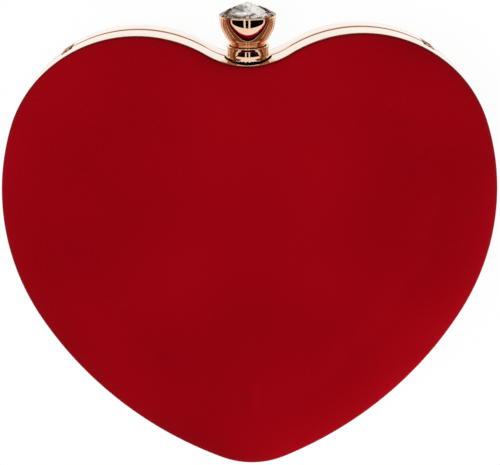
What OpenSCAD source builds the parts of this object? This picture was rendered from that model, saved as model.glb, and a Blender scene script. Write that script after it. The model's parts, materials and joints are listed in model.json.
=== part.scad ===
// Heart shaped evening clutch: two padded velvet covers in a pair of metal rims, hinged at the tip
// of the heart and closed by a crystal topped press knob in the cleft. It lies on its back cover,
// with the origin at the middle of the flat that it rests on, +Y towards the knob and +Z out of
// the front cover. Everything that both halves share is drawn once, measured from the plane where
// the rims part, and placed twice.

/* [Heart outline] */
// Width of the heart across its shoulders
heart_w = 200; // [194:1:210]
// Height of the heart from the tip to the tops of the lobes
heart_h = 187.2; // [180:0.2:194]
// Radius of each lobe at its top
lobe_r = 53.5; // [50:0.5:56]
// Radius of each shoulder, where the lobe turns down into the side
shoulder_r = 100; // [92:1:108]
// Direction at which the lobe gives way to the shoulder, from straight up
shoulder_angle = 71; // [66:1:75]
// Depth of the cleft below the tops of the lobes
cleft_depth = 12.4; // [10:0.2:15]
// Radius of each long side
side_r = 156; // [145:1:170]
// Radius of the tip
tip_r = 34; // [31:1:38]

/* [Rims] */
// Depth of each metal rim
rim_depth = 11.3; // [10:0.1:15]
// Thickness of the rim's outer wall
rim_wall = 1.2; // [1:0.1:1.4]
// Reach of the rim's inner lip, from the outer face
lip_reach = 4; // [3.9:0.1:5]
// Thickness of the inner lip
lip_t = 1.2; // [0.8:0.1:1.6]
// Size of the rounding on the rim's outer edges
rim_edge = 0.5; // [0.2:0.1:0.7]
// How far the rim's outer face leans in from the parting edge to the cover
rim_draft = 0.45; // [0.2:0.05:0.6]
// Gap between the two rims when shut
parting_gap = 0.3; // [0.2:0.05:0.5]

/* [Covers] */
// Rise of each cover above its rim
cover_rise = 12.5; // [10:0.5:16]
// Width of the rolled edge of each cover
roll_w = 24; // [18:1:26]
// Height of the upright foot of the rolled edge
roll_foot = 1; // [0.6:0.1:2]
// Thickness of the velvet with its backing
velvet_t = 1; // [0.6:0.1:1.4]
// Thickness of the padding under the velvet
padding_t = 2; // [1.2:0.1:3]
// Thickness of the moulded shell
shell_t = 1.4; // [1:0.1:1.8]
// Thickness of the lining on its card
lining_t = 0.8; // [0.5:0.1:1]
// Gap left between layers that are glued together
layer_gap = 0.1; // [0.05:0.05:0.2]
// Gap between the shell and the rim's wall
shell_gap = 0.3; // [0.2:0.05:0.5]

/* [Hinge] */
// Width of the hinge at the tip
hinge_w = 18; // [14:1:22]
// Radius of the hinge knuckles
knuckle_r = 2.1; // [1.8:0.1:2.6]
// Gap between knuckles
knuckle_gap = 0.2; // [0.1:0.05:0.4]
// Space between the knuckles and the rims
hinge_stand_off = 0.5; // [0.3:0.1:1]
// Radius of the hinge pin
hinge_pin_r = 0.8; // [0.6:0.1:1]
// Running clearance round the hinge pin
pin_clearance = 0.05; // [0.02:0.01:0.1]
// Thickness of the hinge leaves
leaf_t = 0.8; // [0.5:0.1:1]
// Height of the hinge leaves
leaf_h = 7; // [5:0.5:8]

/* [Clasp] */
// Radius of the collar that the knob sinks into
collar_r = 8.6; // [8.2:0.1:9.2]
// Radius of the collar's foot on the rims
collar_foot_r = 9.2; // [8.9:0.1:10]
// Height of the collar above the floor of the cleft
collar_h = 5.5; // [5:0.1:6.5]
// Height of the collar's floor
collar_floor = 2.2; // [1.8:0.1:2.4]
// Thickness of the collar's wall at its top
collar_wall = 0.9; // [0.7:0.1:1]
// How far the collar's wall draws in between its foot and its lip
collar_waist = 0.35; // [0:0.05:0.4]
// Clearance of the collar over the front rim
collar_clearance = 0.8; // [0.2:0.05:1]
// Radius of the knob at its waist
waist_r = 7.1; // [6.4:0.1:7.2]
// Greatest radius of the knob
knob_r = 11.4; // [10:0.1:13]
// Height of the knob from the top of the collar to the lip round the crystal
knob_h = 12.2; // [10:0.1:15]
// Travel of the knob when pressed
press_travel = 1.6; // [1.2:0.1:1.6]
// Radius of the knob's stem
stem_r = 1.6; // [1.3:0.1:1.8]

/* [Crystal] */
// Rise of the crystal above the lip of the knob
crystal_rise = 4.9; // [3:0.1:7]
// Depth of the crystal below the lip
crystal_sink = 3; // [2:0.1:4]
// Number of facets round the crystal's edge, an even number
crystal_sides = 16; // [12:4:20]

/* [Chain loops] */
// Direction of each chain loop from the middle of its lobe, from straight up
loop_angle = 31; // [20:1:40]
// Length of the slot in the rims that each loop lies in
slot_w = 5; // [4.8:0.1:6]
// Depth of the slot in the front rim
slot_front = 4.5; // [3:0.1:6]
// Depth of the slot in the back rim
slot_back = 8; // [7.9:0.1:9]
// Radius of the loop's wire
loop_wire_r = 0.6; // [0.5:0.05:0.65]
// Reach of the loop from its pin to the middle of its bar
loop_reach = 5.8; // [5.2:0.1:5.9]
// Radius of the loop's pin
loop_pin_r = 0.45; // [0.35:0.05:0.5]

/* [Hidden] */

// Faces to a full turn of everything round
$fn = 96;
// Angle that neighbouring arcs of the outline share. Every second arc's profile is slimmer on all
// sides, so that its ends close inside the next.
arc_lap = 0.5;
arc_slim = 0.02;
// Steps along the cleft's half, lobe, shoulder, side and the tip's half
arc_steps = [8, 24, 12, 12, 8];
// Length by which cuts pass the faces that they open
overrun = 1;

// Directions are measured clockwise from +Y.
function unit(t) = [sin(t), cos(t)];
function heading(v) = atan2(v.x, v.y);
// Where two circles cross, on the right of the way from the first to the second
function crossing(a, a_r, b, b_r) =
  let (d = norm(b - a), e = (b - a) / d, u = (a_r ^ 2 - b_r ^ 2 + d ^ 2) / (2 * d))
  a + u * e + sqrt(a_r ^ 2 - u ^ 2) * [e.y, -e.x];

// The heart is nine arcs, each tangent to the next: the cleft, two lobes, shoulders and sides, and
// the tip. Only the right half is worked out.
half_w = heart_w / 2;
half_h = heart_h / 2;
lobe_c = [half_w - shoulder_r + (shoulder_r - lobe_r) * sin(shoulder_angle), half_h - lobe_r];
// The cleft is a fillet between the lobes. Where they stand too close for its depth, it is as tight
// as the collar's foot allows.
least_cleft_r = 2 * collar_foot_r;
cleft_r = max(least_cleft_r,
  (lobe_c.x ^ 2 + (lobe_r - cleft_depth) ^ 2 - lobe_r ^ 2) / (2 * cleft_depth));
cleft_c = [0, lobe_c.y + sqrt((lobe_r + cleft_r) ^ 2 - lobe_c.x ^ 2)];
cleft_y = cleft_c.y - cleft_r;
cleft_angle = heading([-lobe_c.x, cleft_c.y - lobe_c.y]);
shoulder_c = lobe_c - (shoulder_r - lobe_r) * unit(shoulder_angle);
tip_c = [0, tip_r - half_h];
side_c = crossing(shoulder_c, side_r - shoulder_r, tip_c, side_r - tip_r);
side_start = heading(shoulder_c - side_c);
side_end = heading(tip_c - side_c);
// Centre, radius and the directions at both ends
convex_arcs = [[lobe_c, lobe_r, cleft_angle, shoulder_angle],
  [shoulder_c, shoulder_r, shoulder_angle, side_start],
  [side_c, side_r, side_start, side_end]];
all_arcs = concat([[cleft_c, -cleft_r, 0, cleft_angle]], convex_arcs,
  [[tip_c, tip_r, side_end, 180]]);

// The outline moved inwards by an inset, as points in one turn
half_outline = [for (i = [0:len(all_arcs) - 1], s = [0:arc_steps[i] - 1]) [i, s / arc_steps[i]]];
function outline_point(stop, inset) =
  let (a = all_arcs[stop[0]], t = a[2] + (a[3] - a[2]) * stop[1]) a[0] + (a[1] - inset) * unit(t);
function mirrored(p) = [-p.x, p.y];
function outline(inset) =
  let (right = [for (stop = half_outline) outline_point(stop, inset)],
    tip = [0, inset - half_h], last = len(right) - 1)
  concat(right, [tip], [for (i = [last:-1:1]) mirrored(right[i])]);

// Carries a profile round the heart. Its x is measured outwards from the outline and its y is the
// distance from the parting plane. The slim profile comes first and the full one second.
module arc_band(centre, r, from, to) {
  translate([centre.x, centre.y, 0])
    rotate_extrude(start = 90 - to - arc_lap, angle = to - from + 2 * arc_lap)
      translate([r, 0])
        children();
}
module round_the_heart() {
  for (side = [0, 1])
    mirror([side, 0, 0])
      for (i = [0:len(convex_arcs) - 1])
        arc_band(convex_arcs[i][0], convex_arcs[i][1], convex_arcs[i][2], convex_arcs[i][3])
          children(1 - i % 2);
  arc_band(tip_c, tip_r, side_end, 360 - side_end)
    children(0);
  translate([cleft_c.x, cleft_c.y, 0])
    rotate_extrude(start = 270 + cleft_angle - arc_lap, angle = 2 * (arc_lap - cleft_angle))
      translate([cleft_r, 0])
        mirror([1, 0])
          children(0);
}

// Levels, as distances from the parting plane
rim_low = parting_gap / 2;
rim_high = rim_low + rim_depth;
cover_low = rim_high + layer_gap;
cover_high = cover_low + cover_rise;
roll_low = cover_low + roll_foot;
roll_high = cover_high - roll_low;
parting_z = cover_high;
// Insets of the faces of each layer, from the velvet's outer face
velvet_in = velvet_t;
padding_out = velvet_in + layer_gap;
padding_in = padding_out + padding_t;
shell_out = padding_in + layer_gap;
shell_in = shell_out + shell_t;
lining_out = shell_in + layer_gap;
lining_in = lining_out + lining_t;
// Insets of the upright walls of the shell and the lining, inside the rim
shell_wall_out = rim_wall + shell_gap;
shell_wall_in = shell_wall_out + shell_t;
lining_wall_out = shell_wall_in + layer_gap;
lining_wall_in = lining_wall_out + lining_t;
wall_low = rim_low + lip_t + layer_gap;
// The covers stand at the rim's narrow edge
cover_set = rim_draft;
// How far the covers' outer faces turn in at their foot. The velvet's inner face goes with them,
// and the padding's stays upright against the shell.
foot_tuck = velvet_t / 2;
// The rolled edge runs a little way into the flat middle, which overlaps half of that
flat_run = roll_w / 12;
flat_lap = flat_run / 2;
// Turns of the rolled edge at which its profile has a point
roll_turns = [0, 15, 30, 45, 60, 75, 90];

module in_front() {
  translate([0, 0, parting_z])
    children();
}
module in_back() {
  translate([0, 0, parting_z])
    mirror([0, 0, 1])
      children();
}

// A point of the rolled edge, a quarter of an ellipse, at one turn and inset
function roll(t, inset) =
  [(roll_w - inset) * cos(t) - roll_w - cover_set, roll_low + (roll_high - inset) * sin(t)];
function roll_up(inset) = concat([for (t = roll_turns) roll(t, inset)],
  [[-roll_w - cover_set - flat_run, cover_high - inset]]);
function roll_down(inset) = let (up = roll_up(inset), n = len(up) - 1) [for (i = [n:-1:0]) up[i]];

module flat_middle(outer, inner) {
  translate([0, 0, cover_high - inner])
    linear_extrude(height = inner - outer)
      polygon(outline(roll_w + cover_set + flat_lap));
}
// A layer that ends at the rim's edge. Each profile is drawn slimmer by s.
module cover_layer(outer, inner, inner_tuck) {
  module profile(s)
    polygon(concat([[-outer - cover_set - foot_tuck - s, cover_low + s]], roll_up(outer + s),
      roll_down(inner - s), [[s - inner - cover_set - inner_tuck, cover_low + s]]));
  round_the_heart() {
    profile(arc_slim);
    profile(0);
  }
  flat_middle(outer, inner);
}
// A layer with an upright wall that goes down inside the rim to its lip
module tray_layer(outer, inner, wall_outer, wall_inner) {
  step = rim_high - (outer - shell_out);
  floor_step = step - (inner - outer);
  module profile(s)
    polygon(concat([[-wall_outer - s, wall_low + s], [-wall_outer - s, step - s],
      [-outer - cover_set - s, step - s]], roll_up(outer + s), roll_down(inner - s),
      [[s - inner - cover_set, floor_step + s], [s - wall_inner, floor_step + s],
        [s - wall_inner, wall_low + s]]));
  round_the_heart() {
    profile(arc_slim);
    profile(0);
  }
  flat_middle(outer, inner);
}

// Rim: a wall that thins towards the cover, and an inner lip along the parting edge
module rim_profile(s) {
  low = rim_low + s;
  high = rim_high - s;
  lip_high = rim_low + lip_t - s;
  thin_edge = rim_edge * (1 - rim_draft / rim_wall);
  polygon([[s - lip_reach, low], [-rim_edge - s, low], [-rim_edge / 4 - s, low + rim_edge / 4],
    [-s, low + rim_edge], [-rim_draft - s, high - rim_edge],
    [-rim_draft - thin_edge / 4 - s, high - rim_edge / 4], [-rim_draft - thin_edge - s, high],
    [s - rim_wall, high], [s - rim_wall, lip_high], [s - lip_reach, lip_high]]);
}

// Places in the cleft: x along it, y out of it and z towards the front
module in_cleft() {
  translate([0, cleft_y, parting_z])
    children();
}
// A round piece that stands in the cleft, from one height to another
module upright(r, low, high) {
  translate([0, low, 0])
    rotate([-90, 0, 0])
      cylinder(r = r, h = high - low);
}
module turned_upright() {
  rotate([90, 0, 180])
    rotate_extrude()
      children();
}
module box(low, high) {
  translate(low)
    cube(high - low);
}

// Chain loops
// Clearance at each side of the loop in its slot
loop_side_gap = 0.4;
loop_w = slot_w - 2 * loop_side_gap;
loop_pin_clearance = 0.05;
loop_arm_r = loop_wire_r * 5 / 6;
loop_eye_r = loop_pin_r + loop_pin_clearance + loop_wire_r;
loop_eye_gap = 0.3;
// The pin lies behind the rim's wall at the back of its slot, and the bar stands just short of the
// parting plane, so that the front rim closes over it
loop_pin_y = -rim_wall - loop_pin_r - loop_side_gap;
loop_pin_z = loop_eye_r + loop_eye_gap - slot_back;
loop_lean = asin((loop_wire_r + loop_pin_clearance) / loop_reach);
ear_t = 1;
ear_gap = 0.15;
ear_x = slot_w / 2 + ear_gap;
bracket_web_t = 0.8;
bracket_y = loop_pin_y - loop_eye_r - loop_eye_gap;
bracket_low = loop_pin_z - loop_eye_r - loop_eye_gap;
bracket_high = loop_pin_z + loop_eye_r + loop_eye_gap;
pocket_gap = 0.4;

// Places at a chain loop: x along the rim, y outwards and z towards the front
module at_loop(side) {
  mirror([side, 0, 0])
    translate([lobe_c.x, lobe_c.y, parting_z])
      rotate([0, 0, -loop_angle])
        translate([0, lobe_r, 0])
          children();
}
module along_rim(r, length) {
  rotate([0, 90, 0])
    cylinder(r = r, h = length, center = true);
}
module loop_slots() {
  for (side = [0, 1])
    at_loop(side)
      box([-slot_w / 2, -lip_reach - overrun, -slot_back], [slot_w / 2, overrun, slot_front]);
}
// Room in the back shell and lining for the brackets
module loop_pockets() {
  x = ear_x + ear_t + pocket_gap;
  for (side = [0, 1])
    at_loop(side)
      box([-x, -lining_in - bracket_web_t, bracket_low - pocket_gap], [x, 0, 0]);
}

module loop_bracket(side) {
  x = ear_x + ear_t;
  at_loop(side)
    difference() {
      union() {
        for (s = [0, 1])
          mirror([s, 0, 0])
            box([ear_x, bracket_y, bracket_low], [x, -rim_wall - ear_gap, bracket_high]);
        box([-x, bracket_y - bracket_web_t, bracket_low], [x, bracket_y, bracket_high]);
      }
      translate([0, loop_pin_y, loop_pin_z])
        along_rim(loop_pin_r + loop_pin_clearance, 2 * (x + overrun));
    }
}
module loop_pin(side) {
  at_loop(side)
    translate([0, loop_pin_y, loop_pin_z])
      along_rim(loop_pin_r, 2 * (ear_x + ear_t));
}
// A stirrup: two eyes on the pin, two arms that are a little thinner than the bar, and the bar
module chain_loop(side) {
  arm_x = loop_w / 2 - loop_wire_r;
  at_loop(side)
    translate([0, loop_pin_y, loop_pin_z])
      rotate([-loop_lean, 0, 0])
        difference() {
          union() {
            for (s = [-1, 1])
              translate([s * arm_x, 0, 0]) {
                along_rim(loop_eye_r, 2 * loop_wire_r);
                cylinder(r = loop_arm_r, h = loop_reach);
              }
            translate([0, 0, loop_reach])
              along_rim(loop_wire_r, loop_w);
          }
          along_rim(loop_pin_r + loop_pin_clearance, loop_w + 2 * overrun);
        }
}

// Clasp
// Clearance of the stem in the floor of the collar
stem_clearance = 0.08;
collar_foot_h = 1.4;
collar_lip_edge = 0.25;
// Outside of the collar's wall: shares of the rise from foot to lip, of the waist's draw and of the
// foot's step, at each point
collar_rise_shares = [0, 0.1, 0.24, 0.42, 0.66, 0.86, 1];
collar_waist_shares = [0, 0.5, 0.85, 1, 0.85, 0.2, 0];
collar_foot_shares = [1, 0.5, 0.15, 0, 0, 0, 0];
collar_bore_r = collar_r - collar_wall;
collar_seat_gap = 0.02;
collar_seat_steps = 8;
rivet_r = 0.9;
rivet_clearance = 0.04;
rivet_head_r = 1.7;
rivet_head_t = 0.7;
collar_rivet_x = 5;
collar_rivet_z = -5.4;
collar_rivet_depth = 1.6;
// Slot in both rims that the stem passes through
clasp_slot_x = 2 * stem_r;
// Half the front rim's slot, which is wider because the rim swings over the stem
front_slot_x = 5 * stem_r;
clasp_slot_z = 2 * stem_r;
// Room in the shells and linings under the clasp
clasp_pocket_x = collar_rivet_x + rivet_head_r + pocket_gap;
clasp_pocket_z = -collar_rivet_z + rivet_head_r + pocket_gap;
clasp_pocket_y = -lining_in - lining_t;

latch_gap = 0.3;
// Gap left under the knob when it is pressed
knob_gap = 1.1;
knob_low = collar_floor + press_travel + knob_gap;
waist_y = collar_h + knob_h / 15;
lip_y = collar_h + knob_h;
spring_wire_r = 0.35;
spring_r = stem_r + 3 * spring_wire_r;
spring_turns = 4;
spring_pocket_r = spring_r + 2 * spring_wire_r;
spring_high = waist_y + knob_h / 5;
stem_high = spring_high + knob_h / 6;
knob_wall = 1;
// Bowl of the knob: shares of the rise from waist to lip and of the step from waist to full radius
bowl_rise_shares = [0, 0.08, 0.22, 0.42, 0.64, 0.82, 1];
bowl_step_shares = [0, 0.1, 0.38, 0.66, 0.88, 0.98, 1];
bowl_h = lip_y - waist_y;
bowl = [for (i = [0:len(bowl_rise_shares) - 1])
  [waist_r + (knob_r - waist_r) * bowl_step_shares[i], waist_y + bowl_h * bowl_rise_shares[i]]];
girdle_r = knob_r - knob_wall;
girdle_t = crystal_sink / 4;
bezel_t = knob_wall / 2;
bezel_h = girdle_t + knob_wall / 2;

// Latch: the foot of the stem turns up into a nose that stands behind the strike
strike_t = 1.2;
strike_low = stem_r + 0.25 * stem_r;
strike_drop = 4.6;
strike_w = 10;
strike_run = 6;
strike_rivet_x = 3.6;
nose_t = 1.6;
nose_h = 1.2;
nose_y = -strike_drop - latch_gap;
foot_t = 1.6;
foot_high = nose_y - nose_h;
foot_low = foot_high - foot_t;
foot_w = 2.5 * stem_r;
foot_back = stem_r + knob_wall;
nose_z = strike_low + strike_t + latch_gap;
clasp_pocket_front = strike_low + strike_t + strike_run + pocket_gap;

module clasp_slot(half_w) {
  in_cleft()
    box([-half_w, -lip_reach - overrun, -clasp_slot_z], [half_w, overrun, clasp_slot_z]);
}
module clasp_pocket() {
  in_cleft()
    box([-clasp_pocket_x, clasp_pocket_y, -clasp_pocket_z],
      [clasp_pocket_x, 0, clasp_pocket_front]);
}
// Rise of the cleft's curve over its floor, where a rivet's head starts
collar_rivet_y = cleft_r - sqrt(cleft_r ^ 2 - (collar_rivet_x - rivet_head_r) ^ 2);
both_sides = [-1, 1];
module collar_rivet_places(sides = both_sides) {
  for (s = sides)
    in_cleft()
      translate([s * collar_rivet_x, collar_rivet_y, collar_rivet_z])
        children();
}
module strike_rivet_places(sides = both_sides) {
  for (s = sides)
    in_cleft()
      translate([s * strike_rivet_x, 0, strike_low + strike_t + strike_run / 2])
        children();
}

// The heart's side of the cleft under the collar, moved out by a clearance, between two distances
// from the parting plane
module cleft_floor(low, high, clearance) {
  reach = asin((collar_foot_r + overrun) / cleft_r);
  arc = [for (i = [-collar_seat_steps:collar_seat_steps])
    cleft_c - (cleft_r - clearance) * unit(reach * i / collar_seat_steps)];
  below = cleft_y - 2 * collar_h;
  translate([0, 0, parting_z + low])
    linear_extrude(height = high - low)
      polygon(concat([[arc[0].x, below]], arc, [[-arc[0].x, below]]));
}
// The collar stands on the curve of the cleft: its seat on the back rim ends just past the parting
// plane, and from there it clears the front rim
module clasp_collar() {
  low = collar_floor - 2 * collar_foot_h;
  bore_y = collar_floor;
  wall_h = collar_h - collar_lip_edge - collar_foot_h;
  wall = [for (i = [0:len(collar_rise_shares) - 1])
    [collar_r - collar_waist * collar_waist_shares[i]
        + (collar_foot_r - collar_r) * collar_foot_shares[i],
      collar_foot_h + wall_h * collar_rise_shares[i]]];
  color("#d8a27c")
    difference() {
      in_cleft()
        turned_upright()
          polygon(concat([[stem_r + stem_clearance, low], [collar_foot_r, low]], wall,
            [[collar_r - collar_lip_edge, collar_h], [collar_bore_r, collar_h],
              [collar_bore_r, bore_y], [stem_r + stem_clearance, bore_y]]));
      cleft_floor(-2 * collar_foot_r, collar_seat_gap, collar_seat_gap);
      cleft_floor(collar_seat_gap, 2 * collar_foot_r, collar_clearance);
      collar_rivet_places()
        upright(rivet_r + rivet_clearance, -overrun, collar_rivet_depth + rivet_clearance);
    }
}
module collar_rivet(side) {
  low = -rim_wall - collar_seat_gap - rivet_head_t;
  color("#c8966f")
    collar_rivet_places([side]) {
      upright(rivet_r, low, collar_rivet_depth);
      upright(rivet_head_r, low, low + rivet_head_t);
    }
}

// Cup of the knob: a waist that sinks into the collar, a bowl, and a seat for the crystal
module knob_cup() {
  seat_y = lip_y - girdle_t - crystal_sink;
  color("#d8a27c")
    in_cleft()
      turned_upright()
        polygon(concat([[stem_r + stem_clearance / 4, stem_high],
          [stem_r + stem_clearance / 4, spring_high], [spring_pocket_r, spring_high],
          [spring_pocket_r, knob_low], [waist_r, knob_low]], bowl,
          [[knob_r - bezel_t, lip_y], [knob_r - bezel_t, lip_y - bezel_h],
            [girdle_r - bezel_t, lip_y - bezel_h], [girdle_r - bezel_t, seat_y],
            [waist_r - knob_wall, stem_high]]));
}
module knob_stem() {
  color("#b9bcc0")
    in_cleft()
      upright(stem_r, foot_low + foot_t / 4, stem_high - layer_gap);
}
module latch_hook() {
  color("#b9bcc0")
    in_cleft()
      difference() {
        union() {
          box([-foot_w / 2, foot_low, -foot_back], [foot_w / 2, foot_high, nose_z + nose_t]);
          box([-foot_w / 2, foot_high, nose_z], [foot_w / 2, nose_y, nose_z + nose_t]);
        }
        upright(stem_r + stem_clearance / 4, foot_low - overrun, foot_high + overrun);
      }
}
// Close wound wire round the stem, from the floor of the collar to the knob's pocket
module clasp_spring() {
  low = collar_floor + spring_wire_r + layer_gap;
  high = spring_high - spring_wire_r - layer_gap;
  turn_steps = 14;
  rings = spring_turns * turn_steps;
  wire_sides = 6;
  points = [for (i = [0:rings], k = [0:wire_sides - 1])
    let (t = 360 * i / turn_steps, a = 360 * k / wire_sides,
      r = spring_r + spring_wire_r * cos(a))
    [r * cos(t), low + (high - low) * i / rings + spring_wire_r * sin(a), r * sin(t)]];
  sides = [for (i = [0:rings - 1], k = [0:wire_sides - 1])
    let (a = i * wire_sides + k, b = i * wire_sides + (k + 1) % wire_sides)
    each [[a, b, b + wire_sides], [a, b + wire_sides, a + wire_sides]]];
  first = [for (k = [wire_sides - 1:-1:0]) k];
  last = [for (k = [0:wire_sides - 1]) rings * wire_sides + k];
  color("#9a9da2")
    in_cleft()
      polyhedron(points, concat([first, last], sides));
}

// Crystal: a rose cut crown of flat facets over a shallow back that narrows to a flat. The crown
// has two rings of half as many points as the girdle, the second turned by half a step, and a peak.
crystal_ring_shares = [0.65, 0.3];
crystal_ring_rise_shares = [0.44, 0.78];
crystal_back_share = 0.5;
module crystal() {
  n = crystal_sides;
  m = n / 2;
  low = lip_y - girdle_t;
  function ring(count, r, y, turn) =
    [for (i = [0:count - 1]) let (t = 360 * (i + turn) / count) [r * sin(t), y, r * cos(t)]];
  function crown_ring(i, turn) =
    ring(m, girdle_r * crystal_ring_shares[i], lip_y + crystal_rise * crystal_ring_rise_shares[i],
      turn);
  points = concat(
    ring(n, girdle_r * crystal_back_share, low - crystal_sink, 0),
    ring(n, girdle_r - layer_gap, low, 0),
    ring(n, girdle_r - layer_gap, lip_y, 0),
    crown_ring(0, 0), crown_ring(1, 0.5),
    [[0, lip_y + crystal_rise, 0]]);
  back = [for (i = [0:n - 1]) i];
  bands = [for (b = [0, n], i = [0:n - 1])
    let (j = (i + 1) % n) each [[b + i, b + n + i, b + n + j], [b + i, b + n + j, b + j]]];
  girdle = 2 * n;
  lower = 3 * n;
  upper = lower + m;
  peak = upper + m;
  // Each point of the lower ring stands over an even point of the girdle
  crown = [for (i = [0:m - 1])
    let (j = (i + 1) % m, here = girdle + 2 * i, next = here + 1, last = girdle + (2 * i + n - 1) % n)
    each [[last, lower + i, here], [here, lower + i, next], [next, lower + i, lower + j],
      [lower + i, upper + i, lower + j], [lower + j, upper + i, upper + j],
      [upper + i, peak, upper + j]]];
  color([0.93, 0.95, 0.97, 0.6])
    in_cleft()
      polyhedron(points, concat([back], bands, crown));
}
module crystal_bezel() {
  outer = knob_r - bezel_t - layer_gap;
  color("#f0c6a6")
    in_cleft()
      turned_upright()
        polygon([[girdle_r + layer_gap / 2, lip_y - girdle_t], [outer, lip_y - girdle_t],
          [outer, lip_y + layer_gap], [outer - bezel_t / 2, lip_y + bezel_t / 2],
          [girdle_r + layer_gap / 2, lip_y + layer_gap]]);
}

// Strike: an angle riveted under the front rim, with its lip in front of the latch's nose
module strike_plate() {
  top = -rim_wall - layer_gap;
  color("#b9bcc0")
    difference() {
      in_cleft()
        union() {
          box([-strike_w / 2, top - strike_t, strike_low],
            [strike_w / 2, top, strike_low + strike_t + strike_run]);
          box([-strike_w / 2, -strike_drop, strike_low],
            [strike_w / 2, top - strike_t, strike_low + strike_t]);
        }
      strike_rivet_places()
        upright(rivet_r + rivet_clearance, -strike_drop, 0);
    }
}
module strike_rivet(side) {
  low = -rim_wall - layer_gap - strike_t - rivet_head_t;
  color("#9a9da2")
    strike_rivet_places([side]) {
      upright(rivet_r, low, -layer_gap);
      upright(rivet_head_r, low, low + rivet_head_t - layer_gap);
    }
}

// Hinge at the tip: x along the pin, y away from the purse and z towards the front
hinge_off = knuckle_r + hinge_stand_off;
leaf_gap = 0.02;
knuckle_w = (hinge_w - 2 * knuckle_gap) / 3;
leaf_low = knuckle_r + hinge_stand_off;
leaf_angle = asin((hinge_w / 2 - hinge_stand_off) / tip_r);
hinge_rivet_angle = leaf_angle * 2 / 3;
pin_head_r = knuckle_r * 2 / 3;
pin_head_t = hinge_pin_r;
pin_end_gap = 0.1;

module at_tip() {
  translate([0, -half_h, parting_z])
    rotate([0, 0, 180])
      children();
}
module along_pin(r, from, to) {
  at_tip()
    translate([from, hinge_off, 0])
      rotate([0, 90, 0])
        cylinder(r = r, h = to - from);
}
module hinge_rivet_places(sides = both_sides) {
  for (s = sides)
    translate([tip_c.x, tip_c.y, leaf_low + leaf_h / 2])
      rotate([90, 0, s * hinge_rivet_angle])
        children();
}
// One leaf, bent to the tip, with webs that reach from it to its own knuckles
module hinge_leaf(spans) {
  difference() {
    union() {
      translate([tip_c.x, tip_c.y, leaf_low])
        rotate_extrude(start = 270 - leaf_angle, angle = 2 * leaf_angle)
          translate([tip_r, 0])
            square([leaf_t, leaf_h]);
      for (span = spans) {
        translate([span[0], -half_h - hinge_off, 0])
          rotate([0, 90, 0])
            cylinder(r = knuckle_r, h = span[1] - span[0]);
        box([span[0], -half_h - leaf_t - leaf_gap, pin_end_gap],
          [span[1], -half_h + leaf_low, leaf_low + leaf_t]);
      }
    }
    translate([tip_c.x, tip_c.y, -overrun])
      cylinder(r = tip_r + leaf_gap, h = leaf_low + leaf_h + 2 * overrun, $fn = 4 * $fn);
    translate([-hinge_w, -half_h - hinge_off, 0])
      rotate([0, 90, 0])
        cylinder(r = hinge_pin_r + pin_clearance, h = 2 * hinge_w);
    hinge_rivet_places()
      cylinder(r = rivet_r + rivet_clearance, h = tip_r + 2 * leaf_t);
  }
}
module hinge_rivet(side) {
  hinge_rivet_places([side]) {
    translate([0, 0, tip_r - rim_wall])
      cylinder(r = rivet_r, h = rim_wall + leaf_t + leaf_gap);
    translate([0, 0, tip_r + leaf_t + leaf_gap])
      cylinder(r = rivet_head_r, h = rivet_head_t);
  }
}
outer_spans = [[-hinge_w / 2, -knuckle_w / 2 - knuckle_gap],
  [knuckle_w / 2 + knuckle_gap, hinge_w / 2]];
middle_span = [[-knuckle_w / 2, knuckle_w / 2]];

// Both rims are cut for the chain loops and the stem, and drilled for rivets
module rim() {
  difference() {
    round_the_heart() {
      rim_profile(arc_slim);
      rim_profile(0);
    }
    hinge_rivet_places()
      cylinder(r = rivet_r + rivet_clearance, h = tip_r + overrun);
  }
}

module back_rim() {
  color("#ecd3bd")
    difference() {
      in_back()
        rim();
      loop_slots();
      clasp_slot(clasp_slot_x);
      collar_rivet_places()
        upright(rivet_r + rivet_clearance, -rim_wall - overrun, overrun);
    }
}
module front_rim() {
  color("#ecd3bd")
    difference() {
      in_front()
        rim();
      loop_slots();
      clasp_slot(front_slot_x);
      strike_rivet_places()
        upright(rivet_r + rivet_clearance, -rim_wall - overrun, overrun);
    }
}
module back_shell() {
  color("#cbb59a")
    difference() {
      in_back()
        tray_layer(shell_out, shell_in, shell_wall_out, shell_wall_in);
      loop_pockets();
      clasp_pocket();
    }
}
module front_shell() {
  color("#cbb59a")
    difference() {
      in_front()
        tray_layer(shell_out, shell_in, shell_wall_out, shell_wall_in);
      clasp_pocket();
    }
}
module back_lining() {
  color("#e2cfc0")
    difference() {
      in_back()
        tray_layer(lining_out, lining_in, lining_wall_out, lining_wall_in);
      loop_pockets();
      clasp_pocket();
    }
}
module front_lining() {
  color("#e2cfc0")
    difference() {
      in_front()
        tray_layer(lining_out, lining_in, lining_wall_out, lining_wall_in);
      clasp_pocket();
    }
}
module back_padding() {
  color("#f2ead8")
    in_back()
      cover_layer(padding_out, padding_in, 0);
}
module front_padding() {
  color("#f2ead8")
    in_front()
      cover_layer(padding_out, padding_in, 0);
}
module back_velvet() {
  color("#8f010e")
    in_back()
      cover_layer(0, velvet_in, foot_tuck);
}
module front_velvet() {
  color("#8f010e")
    in_front()
      cover_layer(0, velvet_in, foot_tuck);
}
module back_hinge_leaf() {
  color("#d8a27c")
    in_back()
      hinge_leaf(outer_spans);
}
module front_hinge_leaf() {
  color("#d8a27c")
    in_front()
      hinge_leaf(middle_span);
}
module back_hinge_rivet(side) {
  color("#c8966f")
    in_back()
      hinge_rivet(side);
}
module front_hinge_rivet(side) {
  color("#c8966f")
    in_front()
      hinge_rivet(side);
}
module hinge_pin() {
  end = hinge_w / 2 + pin_end_gap;
  color("#c8966f") {
    along_pin(hinge_pin_r, -end, end);
    along_pin(pin_head_r, end, end + pin_head_t);
    along_pin(pin_head_r, -end - pin_head_t, -end);
  }
}
module left_loop_bracket() {
  color("#c8966f")
    loop_bracket(1);
}
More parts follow.
